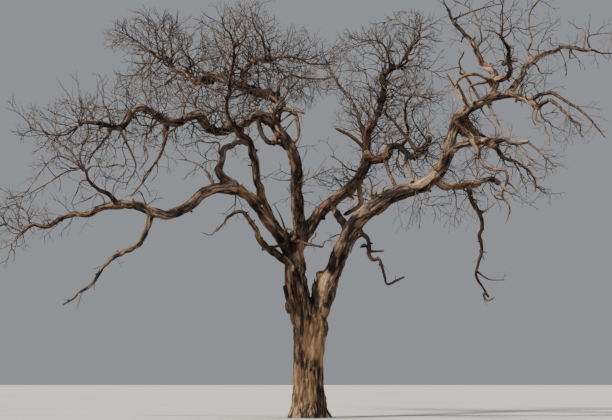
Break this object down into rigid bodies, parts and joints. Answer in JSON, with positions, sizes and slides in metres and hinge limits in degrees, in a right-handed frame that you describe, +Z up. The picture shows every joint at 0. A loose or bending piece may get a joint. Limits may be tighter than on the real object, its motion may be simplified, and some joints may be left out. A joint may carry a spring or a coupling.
{
  "type": "bare savanna tree",
  "caption": "Large leafless dry-country tree with a stout fissured trunk, a low fork into two stems, crooked spreading boughs and fine twigs at their ends.",
  "frame": {"origin": "middle of the flat cut under the trunk, at ground level", "axes": "+Z up the trunk, +X to the right along the crown's greatest width, +Y away from the side that the picture shows"},
  "size_m": [19.9431, 14.4464, 13.4002],
  "materials": {
    "bark": "rough fissured grey-brown bark with tan ridges",
    "deadwood": "weathered pale wood without bark",
    "twigs": "fine rough twigs, dull purplish brown"
  },
  "bodies": {
    "root": {"trunk": "bark", "leftStem": "bark", "rightStem": "bark", "leftArm": "bark", "centreBough": "bark", "frontBough": "bark", "midRight": "bark", "longLeft": "bark", "longLeftOuter": "bark", "longLeftDrop": "bark", "leftLoop": "bark", "droopLeft": "bark", "leftCentre": "bark", "leftCentreTop": "bark", "highLeft": "bark", "highLeftOuter": "bark", "midLeft": "bark", "midLeftOuter": "bark", "midLeftTip": "bark", "archBough": "bark", "midRightUp": "bark", "backBough": "bark", "elbow": "bark", "rightBough": "bark", "rightUp": "bark", "rightArm": "bark", "spire": "bark", "crook": "bark", "farRight": "bark", "rightMid": "bark", "rightBack": "bark", "hook": "deadwood", "hookDrop": "deadwood", "rightLow": "bark", "hanging": "deadwood", "lowSnag": "deadwood", "farLeftTwigs": "twigs", "leftRiserTwigs": "twigs", "midLeftTwigs": "twigs", "midLeftHang": "twigs", "highLeftTwigs": "twigs", "highLeftFan": "twigs", "innerClump": "twigs", "topLeftTwigs": "twigs", "archRiserTwigs": "twigs", "archTwigs": "twigs", "rightwardTwigs": "twigs", "prongTwigs": "twigs", "upRightTwigs": "twigs", "upLeftTwigs": "twigs", "backTwigs": "twigs", "riserTwigs": "twigs", "frontTwigs": "twigs", "underRightTwigs": "twigs", "spireTwigs": "twigs", "crookTwigs": "twigs", "farRightTwigs": "twigs", "armHighTwigs": "twigs", "armLowTwigs": "twigs", "rightMidTwigs": "twigs"}
  },
  "joints": []
}
